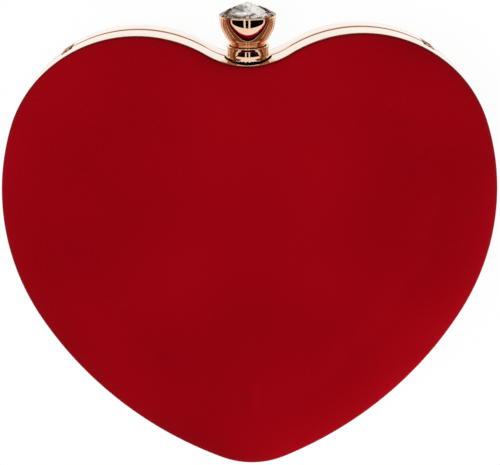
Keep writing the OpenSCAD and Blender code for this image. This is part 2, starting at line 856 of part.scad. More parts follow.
module right_loop_bracket() {
  color("#c8966f")
    loop_bracket(0);
}
module left_loop_pin() {
  color("#9a9da2")
    loop_pin(1);
}
module right_loop_pin() {
  color("#9a9da2")
    loop_pin(0);
}
module left_chain_loop() {
  color("#d8a27c")
    chain_loop(1);
}
module right_chain_loop() {
  color("#d8a27c")
    chain_loop(0);
}

back_rim();
back_shell();
back_padding();
back_velvet();
back_lining();
back_hinge_leaf();
back_hinge_rivet(-1);  // back_left_hinge_rivet
back_hinge_rivet(1);  // back_right_hinge_rivet
hinge_pin();
clasp_collar();
collar_rivet(-1);  // left_collar_rivet
collar_rivet(1);  // right_collar_rivet
clasp_spring();
left_loop_bracket();
right_loop_bracket();
left_loop_pin();
right_loop_pin();
front_rim();
front_shell();
front_padding();
front_velvet();
front_lining();
front_hinge_leaf();
front_hinge_rivet(-1);  // front_left_hinge_rivet
front_hinge_rivet(1);  // front_right_hinge_rivet
strike_plate();
strike_rivet(-1);  // left_strike_rivet
strike_rivet(1);  // right_strike_rivet
knob_cup();
knob_stem();
latch_hook();
crystal();
crystal_bezel();
left_chain_loop();
right_chain_loop();
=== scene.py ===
"""Heart shaped evening clutch: velvet covers in rose gold rims, with a crystal press knob.

All shapes are worked out in millimetres, in the frame of the solid model: x to the right, y from
the tip towards the knob, and z out of the front cover. Both halves are drawn from the plane where
the rims part, so most shapes have a distance w from that plane and a side, +1 in front and -1 at
the back. Heights over the floor of the cleft, along the knob's axis, are called v.
"""
import json
import math
import bmesh
import bpy
import numpy as np
from mathutils import Matrix, Vector

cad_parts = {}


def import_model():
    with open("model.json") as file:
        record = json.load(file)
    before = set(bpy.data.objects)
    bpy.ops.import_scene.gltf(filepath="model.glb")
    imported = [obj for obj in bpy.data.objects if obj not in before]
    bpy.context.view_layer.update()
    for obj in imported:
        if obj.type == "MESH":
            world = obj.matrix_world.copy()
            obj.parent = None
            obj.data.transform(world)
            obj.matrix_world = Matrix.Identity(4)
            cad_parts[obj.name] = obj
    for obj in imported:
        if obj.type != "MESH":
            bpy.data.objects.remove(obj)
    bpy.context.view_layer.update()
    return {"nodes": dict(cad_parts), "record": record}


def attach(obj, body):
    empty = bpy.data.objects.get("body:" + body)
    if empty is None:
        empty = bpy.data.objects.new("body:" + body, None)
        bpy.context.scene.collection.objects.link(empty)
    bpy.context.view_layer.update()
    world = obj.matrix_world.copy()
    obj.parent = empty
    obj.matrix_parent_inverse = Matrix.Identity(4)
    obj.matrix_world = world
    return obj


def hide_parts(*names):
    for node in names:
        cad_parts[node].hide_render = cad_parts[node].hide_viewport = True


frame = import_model()
MM = 0.001


# ---------------------------------------------------------------------- camera
def camera():
    """The photograph's camera, fitted to the outline: place, target, roll and focal length."""
    place, target = np.array([-5.0, 198.06, 547.73]), np.array([-0.18, 11.65, 35.6])
    roll_angle, focal_px, width_px, sensor = -0.012, 1336.3, 500, 36.0
    look = (target - place) / np.linalg.norm(target - place)
    right = np.cross(look, [0, 1, 0])
    right /= np.linalg.norm(right)
    up = np.cross(right, look)
    c, s = math.cos(roll_angle), math.sin(roll_angle)
    data = bpy.data.cameras.new("camera")
    data.sensor_width, data.lens = sensor, focal_px / width_px * sensor
    data.clip_start, data.clip_end = 0.01, 20
    seen = bpy.data.objects.new("camera", data)
    bpy.context.scene.collection.objects.link(seen)
    axes = np.stack([c * right + s * up, c * up - s * right, -look], 1)
    seen.matrix_world = Matrix.Translation(place * MM) @ Matrix(axes.tolist()).to_4x4()
    bpy.context.scene.camera = seen


camera()

# Sizes of the purse, as in the solids: the outline, the rims' section, and the covers' rolled edge
HEART_W, HEART_H = 200.0, 187.2
LOBE_R, SHOULDER_R, SIDE_R, TIP_R = 53.5, 100.0, 156.0, 34.0
SHOULDER_AT, CLEFT_DEPTH = 71.0, 12.4
RIM_LOW, RIM_HIGH, RIM_WALL, RIM_DRAFT, RIM_LIP, RIM_LIP_T = 0.15, 11.45, 1.2, 0.45, 4.0, 1.2
COVER_HIGH, ROLL_W, ROLL_LOW = 24.05, 24.0, 12.55
PARTING_Z = 24.05
FRONT, BACK = 1, -1
HALVES = {FRONT: ("front", "front_half"), BACK: ("back", "back_half")}


# --------------------------------------------------------------------- outline
def compass(t):
    """Unit vectors at angles t in degrees, clockwise from +Y: (sin t, cos t)."""
    t = np.radians(t)
    return np.stack([np.sin(t), np.cos(t)], -1)


def heading(v):
    """The clockwise angle from +Y of a vector, in degrees."""
    return math.degrees(math.atan2(v[0], v[1]))


def heart_arcs():
    """The right half of the outline as tangent arcs, from the floor of the cleft to the tip.

    Each row is centre x and y, radius, first and last direction; the cleft's radius is negative
    because its curve bends the other way. The side's circle holds the shoulder's and the tip's and
    touches both, so its centre lies where circles of the differences of their radii cross.
    """
    half_w, half_h = HEART_W / 2, HEART_H / 2
    reach = half_w - SHOULDER_R + (SHOULDER_R - LOBE_R) * compass(SHOULDER_AT)[0]
    lobe = np.array([reach, half_h - LOBE_R])
    shoulder = lobe - (SHOULDER_R - LOBE_R) * compass(SHOULDER_AT)
    tip = np.array([0, TIP_R - half_h])
    far = np.linalg.norm(tip - shoulder)
    way = (tip - shoulder) / far
    along = ((SIDE_R - SHOULDER_R) ** 2 - (SIDE_R - TIP_R) ** 2 + far**2) / (2 * far)
    across = math.sqrt((SIDE_R - SHOULDER_R) ** 2 - along**2)
    side = shoulder + way * along + across * np.array([way[1], -way[0]])
    side_at, side_end = heading(shoulder - side), heading(tip - side)
    cleft_r = (reach**2 + (LOBE_R - CLEFT_DEPTH) ** 2 - LOBE_R**2) / (2 * CLEFT_DEPTH)
    cleft = np.array([0, half_h - CLEFT_DEPTH + cleft_r])
    cleft_at = heading([-reach, cleft[1] - lobe[1]])
    return np.array(
        [
            [*cleft, -cleft_r, 0, cleft_at],
            [*lobe, LOBE_R, cleft_at, SHOULDER_AT],
            [*shoulder, SHOULDER_R, SHOULDER_AT, side_at],
            [*side, SIDE_R, side_at, side_end],
            [*tip, TIP_R, side_end, 180],
        ]
    )


ARCS = heart_arcs()
ARC_LENGTHS = np.abs(ARCS[:, 2] * np.radians(ARCS[:, 4] - ARCS[:, 3]))
ARC_ENDS = np.concatenate([[0], np.cumsum(ARC_LENGTHS)])
HALF_LENGTH = ARC_ENDS[-1]
PERIMETER = 2 * HALF_LENGTH
CLEFT_R = -ARCS[0, 2]
CLEFT_Y = ARCS[0, 1] - CLEFT_R


def heart_at(s):
    """Points and outward normals of the outline at lengths s along it, clockwise from the cleft.

    A length past half the outline is measured back from the other end and its x is mirrored. The
    normal of every arc is the unit vector at its direction, and the point is the centre plus the
    radius times that.
    """
    s = np.mod(np.asarray(s, float), PERIMETER)
    left = s > HALF_LENGTH
    h = np.where(left, PERIMETER - s, s)
    i = np.clip(np.searchsorted(ARC_ENDS, h, side="right") - 1, 0, len(ARCS) - 1)
    arc = ARCS[i]
    turn = np.degrees((h - ARC_ENDS[i]) / np.abs(arc[..., 2]))
    n = compass(arc[..., 3] + np.sign(arc[..., 4] - arc[..., 3]) * turn)
    p = arc[..., :2] + arc[..., 2:3] * n
    flip = np.where(left, -1.0, 1.0)[..., None] * [1, 0] + [0, 1]
    return p * flip, n * flip


def length_at_lobe(t):
    """How far along the outline the lobe's direction t lies."""
    return ARC_ENDS[1] + LOBE_R * math.radians(t - ARCS[1, 3])


def eased(x, low, high):
    """0 up to low and 1 from high, with the cubic 3t^2 - 2t^3 between."""
    t = np.clip((x - low) / (high - low), 0, 1)
    return t * t * (3 - 2 * t)


# ------------------------------------------------------------------ mesh makers
def grid_faces(rows, cols, close_rows=False, close_cols=False):
    """Quads of a grid of points, row by row, that may close on itself either way."""
    r = np.arange(rows if close_rows else rows - 1)
    c = np.arange(cols if close_cols else cols - 1)
    r, c = (a.ravel() for a in np.meshgrid(r, c, indexing="ij"))
    r2, c2 = (r + 1) % rows, (c + 1) % cols
    return np.stack([r * cols + c, r2 * cols + c, r2 * cols + c2, r * cols + c2], -1)


def make(name, parts, material, sharp=30.0):
    """A mesh object from parts in millimetres, shaded smooth but for edges past sharp.

    Each part is its points and then arrays of faces, one array for each number of corners.
    """
    points, loops, sizes, base = [], [], [], 0
    for p, *groups in parts:
        p = np.reshape(p, (-1, 3))
        for group in groups:
            loops.append(np.ravel(group) + base)
            sizes.append(np.full(*np.shape(group)))
        points.append(p)
        base += len(p)
    points, loops, sizes = np.vstack(points) * MM, np.concatenate(loops), np.concatenate(sizes)
    mesh = bpy.data.meshes.new(name)
    mesh.vertices.add(len(points))
    mesh.vertices.foreach_set("co", points.ravel())
    mesh.loops.add(len(loops))
    mesh.loops.foreach_set("vertex_index", loops.astype(np.int32))
    mesh.polygons.add(len(sizes))
    mesh.polygons.foreach_set("loop_start", (np.cumsum(sizes) - sizes).astype(np.int32))
    mesh.update(calc_edges=True)
    mesh.validate()
    work = bmesh.new()
    work.from_mesh(mesh)
    bmesh.ops.recalc_face_normals(work, faces=work.faces)
    work.to_mesh(mesh)
    work.free()
    mesh.polygons.foreach_set("use_smooth", np.ones(len(mesh.polygons), bool))
    mesh.set_sharp_from_angle(angle=math.radians(sharp))
    mesh.materials.append(material)
    piece = bpy.data.objects.new(name, mesh)
    bpy.context.scene.collection.objects.link(piece)
    return piece


def dressed(piece, body, slot, *nodes):
    """Puts a piece on its body in place of the CAD nodes that it stands for."""
    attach(piece, body)
    if nodes:
        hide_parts(*nodes)
    return piece


def applied(piece):
    """Bakes a piece's modifiers into its mesh."""
    graph = bpy.context.evaluated_depsgraph_get()
    mesh = bpy.data.meshes.new_from_object(piece.evaluated_get(graph), depsgraph=graph)
    piece.modifiers.clear()
    piece.data = mesh
    return piece


def carried(profile, s, side):
    """A closed profile of (outward, w) carried along the outline at lengths s, with flat ends.

    The point is the outline's point plus outward times its normal, at z = parting + side * w.
    """
    p, n = heart_at(s)
    profile = np.asarray(profile, float)
    xy = p[:, None] + profile[None, :, :1] * n[:, None]
    z = np.broadcast_to(PARTING_Z + side * profile[None, :, 1:], (*xy.shape[:2], 1))
    rows, cols = xy.shape[:2]
    ends = np.arange(cols) + np.array([[0], [(rows - 1) * cols]])
    return np.concatenate([xy, z], -1), grid_faces(rows, cols, close_cols=True), ends


def rounded(corners, radii, steps=5):
    """A closed profile whose corners are turned into arcs of the given radii.

    Each arc is the quadratic curve from radius before the corner to radius after it.
    """
    c = np.asarray(corners, float)
    r = np.asarray(radii, float)[:, None]
    into = c - np.roll(c, 1, 0)
    out = np.roll(c, -1, 0) - c
    a = c - into / np.linalg.norm(into, axis=1, keepdims=True) * r
    b = c + out / np.linalg.norm(out, axis=1, keepdims=True) * r
    t = np.linspace(0, 1, steps)[None, :, None]
    curve = (1 - t) ** 2 * a[:, None] + 2 * t * (1 - t) * c[:, None] + t**2 * b[:, None]
    keep = np.arange(steps)[None] < np.where(r > 0, steps, 1)
    return curve[keep]


def smooth_through(points, steps):
    """A smooth line through points: a cubic between each two, with slopes of their neighbours."""
    p = np.asarray(points, float)
    slope = np.gradient(p, axis=0)
    t = np.linspace(0, 1, steps, endpoint=False)[None, :, None]
    a, b, ma, mb = p[:-1, None], p[1:, None], slope[:-1, None], slope[1:, None]
    line = (2 * t**3 - 3 * t**2 + 1) * a + (t**3 - 2 * t**2 + t) * ma
    line = line + (3 * t**2 - 2 * t**3) * b + (t**3 - t**2) * mb
    return np.vstack([line.reshape(-1, 2), p[-1:]])


def turned(profile, steps=192):
    """A closed profile of (radius, v) revolved round the knob's axis, which runs along +Y.

    The point is (r sin a, cleft + v, parting + r cos a).
    """
    profile = np.asarray(profile, float)
    a = np.linspace(0, 2 * np.pi, steps, endpoint=False)[:, None]
    r, v = profile[None, :, 0], profile[None, :, 1]
    points = np.stack([r * np.sin(a), CLEFT_Y + v + 0 * a, PARTING_Z + r * np.cos(a)], -1)
    return points, grid_faces(steps, len(profile), close_rows=True, close_cols=True)


# -------------------------------------------------------------------- materials
NOISE_SPAN = {"From Min": 0.3, "From Max": 0.7}  # nearly all of a noise lies between these
MIX_A, MIX_B, MIXED = 6, 7, 2  # the Mix node's sockets for colours


def linear(code):
    """An sRGB hex colour as linear RGBA."""
    c = np.array([int(code[i : i + 2], 16) for i in (1, 3, 5)]) / 255
    c = np.where(c <= 0.04045, c / 12.92, ((c + 0.055) / 1.055) ** 2.4)
    return (*c.tolist(), 1.0)


def add(tree, kind, inputs=None, **settings):
    """Adds a shader node, sets its settings, and links or fills its inputs.

    An input takes a value, an output socket, or a node, which stands for its first output.
    """
    made = tree.nodes.new("ShaderNode" + kind)
    for key, value in settings.items():
        setattr(made, key, value)
    for socket, value in (inputs or {}).items():
        if isinstance(value, bpy.types.Node):
            value = value.outputs[0]
        if isinstance(value, bpy.types.NodeSocket):
            tree.links.new(value, made.inputs[socket])
        else:
            made.inputs[socket].default_value = value
    return made


def per_metre(size_mm):
    """The texture scale at which a pattern repeats about every size_mm."""
    return 1000.0 / size_mm


def new_material(name):
    """An empty node material with its tree and the coordinates of the object, in metres."""
    material = bpy.data.materials.new(name)
    material.use_nodes = True
    tree = material.node_tree
    tree.nodes.clear()
    return material, tree, add(tree, "TexCoord").outputs["Object"]


def finished(material, inputs):
    """Ends a material with one surface that has these inputs."""
    tree = material.node_tree
    add(tree, "OutputMaterial", {"Surface": add(tree, "BsdfPrincipled", inputs)})
    return material


def shaded(tree, first, *steps):
    """A colour that starts as the first, and that each step's factor turns to the step's own."""
    shade = linear(first)
    for fac, colour in steps:
        mixed = {"Factor": fac, MIX_A: shade, MIX_B: linear(colour)}
        shade = add(tree, "Mix", mixed, data_type="RGBA").outputs[MIXED]
    return shade


def grained(tree, grain, tones, rough, depth_mm=None):
    """Inputs of a surface whose one grain goes through its colour, its gloss and its height.

    The colour goes between two tones and the roughness between two values as the grain rises.
    """
    gloss = {"Value": grain, "To Min": rough[0], "To Max": rough[1], **NOISE_SPAN}
    inputs = {
        "Base Color": shaded(tree, tones[0], (grain, tones[1])),
        "Roughness": add(tree, "MapRange", gloss),
    }
    if depth_mm:
        height = {"Height": grain, "Distance": depth_mm * MM, "Strength": 0.5}
        inputs["Normal"] = add(tree, "Bump", height)
    return inputs


def velvet_cut_pile():
    """Crimson velvet, woven and cut to a short upright pile.

    Deep and matt, with a soft red bloom where it turns away from the eye, almost black at its
    foot, where painted shade stands in for the shadow of the groove under the rim's edge, and
    very faint patches where it leans. Tufts are about 0.4 mm and are drawn at 0.8 mm to show.
    """
    material, tree, where = new_material("velvet_cut_pile_crimson")
    lean = add(tree, "TexNoise", {"Vector": where, "Scale": per_metre(70.0), "Detail": 1.0})
    tufts = add(tree, "TexNoise", {
        "Vector": where, "Scale": per_metre(0.8), "Detail": 3.0, "Roughness": 0.6})
    patches = add(tree, "MapRange", {"Value": lean, **NOISE_SPAN})
    tips = {"Value": tufts, "From Min": 0.4, "From Max": 0.75, "To Min": 0.0, "To Max": 0.18}
    tips = add(tree, "MapRange", tips)
    # Painted shade: the velvet's foot is darkened towards #400004, in place of the shadow in the
    # groove under the rim's edge.
    pressed = add(tree, "Attribute", attribute_name="pressed").outputs["Fac"]
    steps = (patches, "#96030F"), (tips, "#B00A20"), (pressed, "#400004")
    return finished(material, {
        "Base Color": shaded(tree, "#86020C", *steps),
        "Roughness": 0.95,
        "Specular IOR Level": 0.03,
        "Sheen Weight": 0.22,
        "Sheen Roughness": 0.3,
        "Sheen Tint": linear("#F01030"),
        "Normal": add(tree, "Bump", {"Height": tufts, "Distance": 0.08 * MM, "Strength": 0.5}),
    })


def plated_metal(name, pale, warm, rough):
    """Zinc casting or brass strip, polished and plated with rose gold.

    The mirror is broken by a faint buffing haze, drawn at 0.5 mm to show, and by waves of 14 mm,
    too shallow to see as dents.
    """
    material, tree, where = new_material(name)
    haze = add(tree, "TexNoise", {
        "Vector": where, "Scale": per_metre(0.5), "Detail": 5.0, "Roughness": 0.7})
    drift = add(tree, "TexNoise", {"Vector": where, "Scale": per_metre(14.0), "Detail": 2.0})
    waves = add(tree, "MapRange", {"Value": drift, **NOISE_SPAN})
    gloss = {"Value": haze, "To Min": rough * 0.6, "To Max": rough * 1.6, **NOISE_SPAN}
    return finished(material, {
        "Base Color": shaded(tree, pale, (waves, warm)),
        "Metallic": 1.0,
        "Roughness": add(tree, "MapRange", gloss),
        "Normal": add(tree, "Bump", {"Height": drift, "Distance": 0.04 * MM, "Strength": 0.35}),
    })


def drawn_steel():
    """Bright steel, drawn or stamped: grey, with fine lines across the knob's axis."""
    material, tree, where = new_material("steel_drawn_bright")
    stretched = add(tree, "Mapping", {"Vector": where, "Scale": (1.0, 8.0, 1.0)})
    lines = add(tree, "TexNoise", {
        "Vector": stretched, "Scale": per_metre(1.2), "Detail": 4.0, "Roughness": 0.6})
    inputs = grained(tree, lines, ("#A9ADB2", "#C6C9CD"), (0.18, 0.36), 0.02)
    return finished(material, {**inputs, "Metallic": 1.0})


def turned_brass():
    """Brass rivets and pins, turned and plated: warm, with the tool's fine marks."""
    material, tree, where = new_material("brass_turned_plated")
    marks = add(tree, "TexNoise", {
        "Vector": where, "Scale": per_metre(0.3), "Detail": 3.0, "Roughness": 0.6})
    inputs = grained(tree, marks, ("#B98357", "#D9A77E"), (0.14, 0.32))
    return finished(material, {**inputs, "Metallic": 1.0})


def moulded_shell():
    """The moulded inner shell: dull tan ABS with the fine grain of its tool."""
    material, tree, where = new_material("abs_moulded_tan")
    grain = add(tree, "TexNoise", {
        "Vector": where, "Scale": per_metre(0.6), "Detail": 3.0, "Roughness": 0.6})
    return finished(material, grained(tree, grain, ("#BDA68A", "#CDB89E"), (0.5, 0.65), 0.03))


def needled_wadding():
    """Polyester wadding, needled: off white, matt and fluffy."""
    material, tree, where = new_material("polyester_wadding_needled")
    fluff = add(tree, "TexNoise", {
        "Vector": where, "Scale": per_metre(1.6), "Detail": 5.0, "Roughness": 0.7})
    return finished(material, {
        "Base Color": shaded(tree, "#E4DCCB", (fluff, "#F5F0E4")),
        "Roughness": 0.95,
        "Specular IOR Level": 0.2,
        "Sheen Weight": 0.3,
        "Normal": add(tree, "Bump", {"Height": fluff, "Distance": 0.4 * MM, "Strength": 0.6}),
    })


def woven_satin():
    """Champagne satin, woven with long floats: a soft gloss, fine threads and slow folds.

    Threads are about 0.15 mm apart and are drawn at 0.6 mm to show.
    """
    material, tree, where = new_material("satin_woven_champagne")
    across = add(tree, "Mapping", {"Vector": where, "Scale": (1.0, 0.06, 1.0)})
    threads = add(tree, "TexNoise", {
        "Vector": across, "Scale": per_metre(0.6), "Detail": 3.0, "Roughness": 0.6})
    folds = add(tree, "TexNoise", {"Vector": where, "Scale": per_metre(22.0), "Detail": 2.0})
    fine = add(tree, "MapRange", {"Value": threads, "To Min": 0.0, "To Max": 0.12})
    both = add(tree, "Math", {0: fine, 1: folds}, operation="ADD")
    return finished(material, {
        **grained(tree, threads, ("#CDB39F", "#E6D3C3"), (0.32, 0.46)),
        "Sheen Weight": 0.25,
        "Normal": add(tree, "Bump", {"Height": both, "Distance": 0.5 * MM, "Strength": 0.5}),
    })


def cut_crystal():
    """Pressed and polished lead crystal: clear, with sharp facets and the faintest smear."""
    material, tree, where = new_material("glass_crystal_polished")
    smear = add(tree, "TexNoise", {"Vector": where, "Scale": per_metre(3.0), "Detail": 2.0})
    gloss = {"Value": smear, "To Min": 0.0, "To Max": 0.02, **NOISE_SPAN}
    return finished(material, {
        "Base Color": linear("#FFFFFD"),
        "Roughness": add(tree, "MapRange", gloss),
        "IOR": 1.7,
        "Transmission Weight": 1.0,
    })


def silvered_foil():
    """The silvered back of the crystal: a mirror behind the glass, its colour clouded from grey to
    white as a painted reflection, for the light and dark the facets show.
    """
    material, tree, where = new_material("foil_silvered")
    cloud = add(tree, "TexNoise", {"Vector": where, "Scale": per_metre(5.0), "Detail": 1.0})
    # Painted reflection: the mirror's colour is clouded between grey and white so that the facets
    # show light and dark.
    painted_facet_light = add(tree, "MapRange", {"Value": cloud, "From Min": 0.42, "From Max": 0.58})
    gloss = {"Value": cloud, "To Min": 0.03, "To Max": 0.1, **NOISE_SPAN}
    return finished(material, {
        "Base Color": shaded(tree, "#747478", (painted_facet_light, "#FFFFFC")),
        "Metallic": 1.0,
        "Roughness": add(tree, "MapRange", gloss),
    })


VELVET = velvet_cut_pile()
RIM_METAL = plated_metal("rose_gold_rim_polished", "#FCEDE0", "#F8E4D4", 0.07)
KNOB_METAL = plated_metal("rose_gold_cast_mirror", "#F8D8C0", "#F2CAA8", 0.04)
STEEL, BRASS, SHELL = drawn_steel(), turned_brass(), moulded_shell()
WADDING, SATIN = needled_wadding(), woven_satin()
CRYSTAL, FOIL = cut_crystal(), silvered_foil()


# ------------------------------------------------------------------------ rims
LOOP_AT = length_at_lobe(31.0)
LOOP_SLOT_HALF, STEM_SLOT_DEPTH = 2.5, 3.2
LOOP_SLOT_DEPTH = {FRONT: 4.5, BACK: 8.0}
STEM_SLOT_HALF = {FRONT: 8.0, BACK: 3.2}
PARTING_ROUND, OUTER_ROUND, INNER_ROUND, LIP_ROUND, SLOT_ROUND = 1.6, 0.45, 0.25, 0.3, 0.15
RIM_STEP, SLOT_STEPS = 0.55, 24


def rim(side):
    """One rim: a band that leans in a little, with a lip at the parting plane and three cuts.

    The outline is divided at the cuts for the loops and the stem. Between them the whole profile
    is carried along, and in each cut only the part of the wall that is left past the cut's depth.
    The corner at the parting plane is the roundest, which widens the line between the rims.
    """
    whole = rounded(
        [[-RIM_LIP, RIM_LOW], [0, RIM_LOW], [-RIM_DRAFT, RIM_HIGH], [-RIM_WALL, RIM_HIGH],
         [-RIM_WALL, RIM_LOW + RIM_LIP_T], [-RIM_LIP, RIM_LOW + RIM_LIP_T]],
        [LIP_ROUND, PARTING_ROUND, OUTER_ROUND, INNER_ROUND, 0, LIP_ROUND],
    )

    def left_over(low):
        """The profile of what is left of the wall past a cut's depth, which is low."""
        lean = -RIM_DRAFT * (low - RIM_LOW) / (RIM_HIGH - RIM_LOW)
        corners = [[lean, low], [-RIM_DRAFT, RIM_HIGH], [-RIM_WALL, RIM_HIGH], [-RIM_WALL, low]]
        return rounded(corners, [SLOT_ROUND, OUTER_ROUND, INNER_ROUND, SLOT_ROUND])

    stem = STEM_SLOT_HALF[side], STEM_SLOT_DEPTH
    loop = LOOP_SLOT_HALF, LOOP_SLOT_DEPTH[side]
    cuts = [(0, *stem), (LOOP_AT, *loop), (PERIMETER - LOOP_AT, *loop), (PERIMETER, *stem)]
    parts = []
    for (at, half, low), (next_at, next_half, _) in zip(cuts[:-1], cuts[1:]):
        start, end = at + half, next_at - next_half
        run = np.linspace(start, end, int((end - start) / RIM_STEP) + 2)
        parts.append(carried(whole, run, side))
        cut = np.linspace(at - half, at + half, SLOT_STEPS)
        parts.append(carried(left_over(low), cut, side))
    name, body = HALVES[side]
    piece = make(name + "_rim_polished", parts, RIM_METAL, sharp=40)
    return dressed(piece, body, "rose_gold_rim", name + "_rim")


# ----------------------------------------------------------------------- covers
CENTRE, INNER_SHARE = np.array([0.0, 6.0]), 0.5


def disc_grid(m):
    """Radius 0 to 1 and turn 0 to 1 of an m by m grid, by rings that are squares.

    The radius is the larger of |a| and |b|; the turn is an eighth of a circle times the ratio of
    the smaller to the larger, counted from the middle of the square's side on which the point lies.
    """
    a, b = np.meshgrid(np.linspace(-1, 1, m), np.linspace(-1, 1, m), indexing="ij")
    wide = np.abs(a) > np.abs(b)
    r = np.where(wide, a, b)
    ratio = np.where(wide, b, a) / np.where(r == 0, 1, r)
    turn = np.where(wide, np.pi / 4 * ratio, np.pi / 2 - np.pi / 4 * ratio)
    turn = np.where(r < 0, turn + np.pi, turn)
    return np.abs(r), np.mod(turn / (2 * np.pi), 1)


def cover_points(m, edge, side, boxed=None):
    """A sheet over one half: an edge profile of (inset, w) all round and a flat inside it.

    edge runs from the flat to the foot. Outside INNER_SHARE of the radius a point lies its inset
    inside the outline, both read off the profile by length; inside that, the first inset's curve
    is drawn in towards the centre in proportion to the radius. boxed(s, w) gives an inset that the
    sheet keeps at least, at length s along the outline. Also returns each point's radius, and how
    far it lies from the foot along the profile.
    """
    radius, turn = disc_grid(m)
    s = turn * PERIMETER
    p, n = heart_at(s)
    edge = np.asarray(edge, float)
    along = np.concatenate([[0], np.cumsum(np.linalg.norm(np.diff(edge, axis=0), axis=1))])
    t = np.clip((radius - INNER_SHARE) / (1 - INNER_SHARE), 0, 1) * along[-1]
    inset, w = np.interp(t, along, edge[:, 0]), np.interp(t, along, edge[:, 1])
    if boxed:
        inset = np.maximum(inset, boxed(s, w))
    xy = p - inset[..., None] * n
    share = np.clip(radius / INNER_SHARE, 0, 1)[..., None]
    xy = CENTRE + share * (xy - CENTRE)
    points = np.concatenate([xy, PARTING_Z + side * w[..., None]], -1)
    return points, radius, along[-1] - t


def roll(inset, turns):
    """The rolled edge, inset mm inside the velvet's face: a quarter ellipse, as (inset, w)."""
    t = np.radians(turns)
    height = COVER_HIGH - ROLL_LOW
    across = RIM_DRAFT + ROLL_W - (ROLL_W - inset) * np.cos(t)
    return np.stack([across, ROLL_LOW + (height - inset) * np.sin(t)], -1)


ROLL_TURNS = np.linspace(90, 0, 33)


def walled(piece, side, thick):
    """Gives a sheet its wall, on the side away from the eye that looks at the half from outside."""
    outward = np.array([v.normal.z for v in piece.data.vertices]).mean() * side
    wall = piece.modifiers.new("thickness", "SOLIDIFY")
    wall.thickness, wall.offset = thick * MM, -1.0 if outward > 0 else 1.0
    wall.use_even_offset = False
    return applied(piece)


VELVET_GRID, LAYER_GRID = 111, 109
VELVET_IN, VELVET_T, PADDING_IN, PADDING_T, LINING_T = 0.04, 0.6, 1.15, 1.85, 0.75
# The last two are where the painted shade at the velvet's foot starts to fade and where it ends, in
# mm from the foot.
PILE, FOOT_SHADE_LOW, FOOT_SHADE_HIGH = 0.3, 2.8, 4.0


def velvet(side):
    """The velvet of one cover, drawn over the padding and tucked in behind the rim's edge.

    Its edge is moved by PILE times the squared cosine of the roll's turn: out in front, where the
    pile leans over the rim, and in at the back. The cloth solver swells the front; the back lies
    on a table, so it stays flat. Its attribute of painted shade darkens the velvet's foot where the
    groove under the rim's edge would shade it: it is 1 up to FOOT_SHADE_LOW mm from the foot along
    the profile, and 0 from FOOT_SHADE_HIGH mm.
    """
    name, body = HALVES[side]
    pile = PILE * side
    foot = [[0.5 - pile, 12.25], [0.72 - pile, 11.95], [1.05 - pile / 2, 11.72], [1.5, 11.62]]
    edge = roll(VELVET_IN, ROLL_TURNS)
    edge[:, 0] -= pile * np.cos(np.radians(ROLL_TURNS)) ** 2
    edge = np.vstack([edge, foot])
    m = VELVET_GRID
    points, radius, up = cover_points(m, edge, side)
    piece = make(name + "_velvet_cover", [(points, grid_faces(m, m))], VELVET, sharp=80)
    # Painted shade at the foot, in place of the groove's shadow under the rim's edge.
    pressed = piece.data.attributes.new("pressed", "FLOAT", "POINT")
    shade = 1 - eased(up.ravel(), FOOT_SHADE_LOW, FOOT_SHADE_HIGH)
    pressed.data.foreach_set("value", shade.astype(np.float32))
    if side == FRONT:
        swell(piece, radius.ravel())
    fine = piece.modifiers.new("fine", "SUBSURF")
    fine.levels = fine.render_levels = 1
    walled(piece, side, VELVET_T)
    dressed(piece, body, "velvet", name + "_velvet")
    return piece


SWELL_CAP, PRESSURE, STIFFNESS, CLOTH_FRAMES = 1.6, 4.0, 15, 20
HELD_FROM, HELD_RAMP = 0.8, 0.12


def swell(piece, radius):
    """Cloth under a light pressure, run for a few frames and held from HELD_FROM of the radius.

    Only its rise over the drawn shape is kept, as h tanh(z / h) with h the cap, because the padding
    lies right under it and lets no point sink.
    """
    mesh = piece.data
    rest = np.zeros(len(mesh.vertices) * 3, np.float32)
    mesh.vertices.foreach_get("co", rest)
    rest = rest.reshape(-1, 3).astype(float)
    held = piece.vertex_groups.new(name="held")
    grip = np.round(np.clip((radius - HELD_FROM) / HELD_RAMP, 0, 1), 2)
    for weight in np.unique(grip):
        held.add(np.flatnonzero(grip == weight).tolist(), float(weight), "REPLACE")
    cloth = piece.modifiers.new("cloth", "CLOTH")
    cloth.settings.vertex_group_mass = "held"
    cloth.settings.use_pressure = True
    cloth.settings.uniform_pressure_force = PRESSURE
    cloth.settings.effector_weights.gravity = 0
    cloth.settings.tension_stiffness = cloth.settings.compression_stiffness = STIFFNESS
    scene = bpy.context.scene
    for number in range(1, CLOTH_FRAMES + 1):
        scene.frame_set(number)
    graph = bpy.context.evaluated_depsgraph_get()
    now = np.zeros(len(mesh.vertices) * 3, np.float32)
    swollen = piece.evaluated_get(graph).to_mesh()
    swollen.vertices.foreach_get("co", now)
    rise = np.maximum(now.reshape(-1, 3)[:, 2] - rest[:, 2], 0)
    piece.modifiers.clear()
    scene.frame_set(1)
    cap = SWELL_CAP * MM
    rest[:, 2] += cap * np.tanh(rise / cap)
    mesh.vertices.foreach_set("co", rest.ravel())
    mesh.update()


def padding(side):
    """The wadding under the velvet, a soft layer that follows it."""
    name, body = HALVES[side]
    edge = np.vstack([roll(PADDING_IN, ROLL_TURNS), [[1.75, 12.7], [2.05, 12.35]]])
    m = LAYER_GRID
    points, _, _ = cover_points(m, edge, side)
    piece = make(name + "_wadding", [(points, grid_faces(m, m))], WADDING, sharp=50)
    walled(piece, side, PADDING_T)
    dressed(piece, body, "padding", name + "_padding")
    return piece


LINING_WALL_IN, LINING_IN, LINING_STEP = 3.8, 5.5, 9.8
POCKET_IN, CLASP_POCKET_HALF, LOOP_POCKET_HALF = 7.3, 7.4, 4.4
POCKET_DEPTH, POCKET_SIDE, POCKET_FLOOR = {FRONT: 10.1, BACK: 9.3}, 2.0, 1.5


